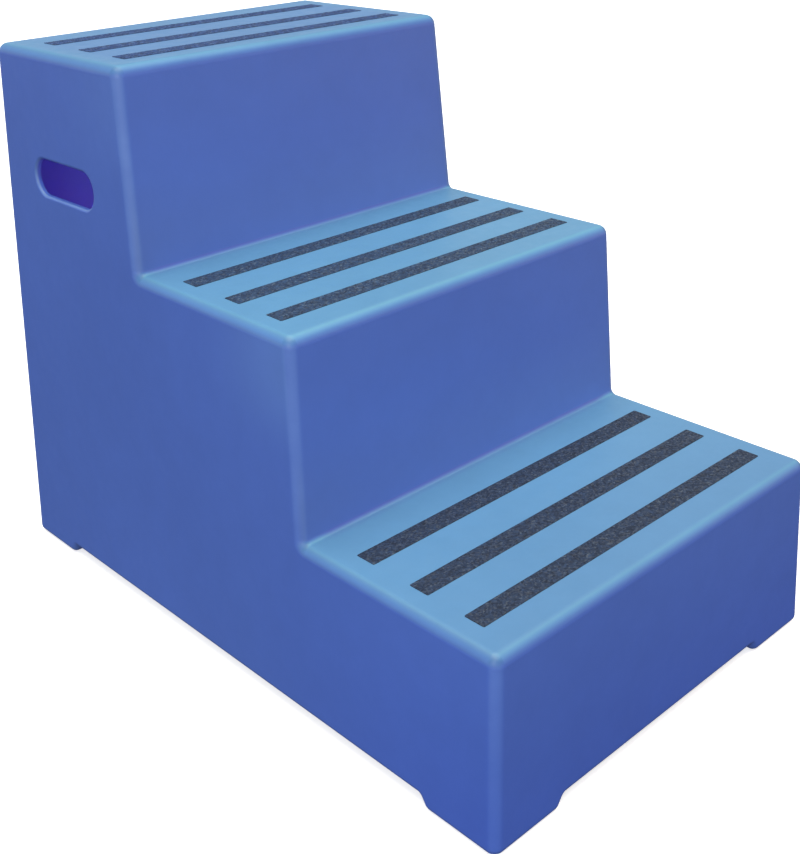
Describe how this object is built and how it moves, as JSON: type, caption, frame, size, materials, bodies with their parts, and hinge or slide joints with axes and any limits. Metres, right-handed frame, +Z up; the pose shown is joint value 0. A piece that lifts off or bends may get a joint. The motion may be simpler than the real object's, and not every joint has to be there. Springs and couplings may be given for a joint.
{
  "type": "pool step",
  "caption": "Free-standing moulded plastic step with stacked treads, grit strips, side hand holes and rubber foot pads.",
  "frame": {"origin": "on the floor, under the middle of the body's footprint", "axes": "+X across the width to the user's right as they climb, +Y from the lowest tread towards the back, +Z up"},
  "size_m": [0.494, 0.787, 0.6008],
  "materials": {
    "blue_polyethylene": "satin",
    "grit_tape": "coarse grit",
    "foot_rubber": "matte"
  },
  "bodies": {
    "root": {"body_shell": "blue_polyethylene", "lower_tread_front_strip": "grit_tape", "lower_tread_middle_strip": "grit_tape", "lower_tread_rear_strip": "grit_tape", "middle_tread_front_strip": "grit_tape", "middle_tread_middle_strip": "grit_tape", "middle_tread_rear_strip": "grit_tape", "top_tread_front_strip": "grit_tape", "top_tread_middle_strip": "grit_tape", "top_tread_rear_strip": "grit_tape", "front_left_foot_pad": "foot_rubber", "front_right_foot_pad": "foot_rubber", "rear_left_foot_pad": "foot_rubber", "rear_right_foot_pad": "foot_rubber"}
  },
  "joints": []
}
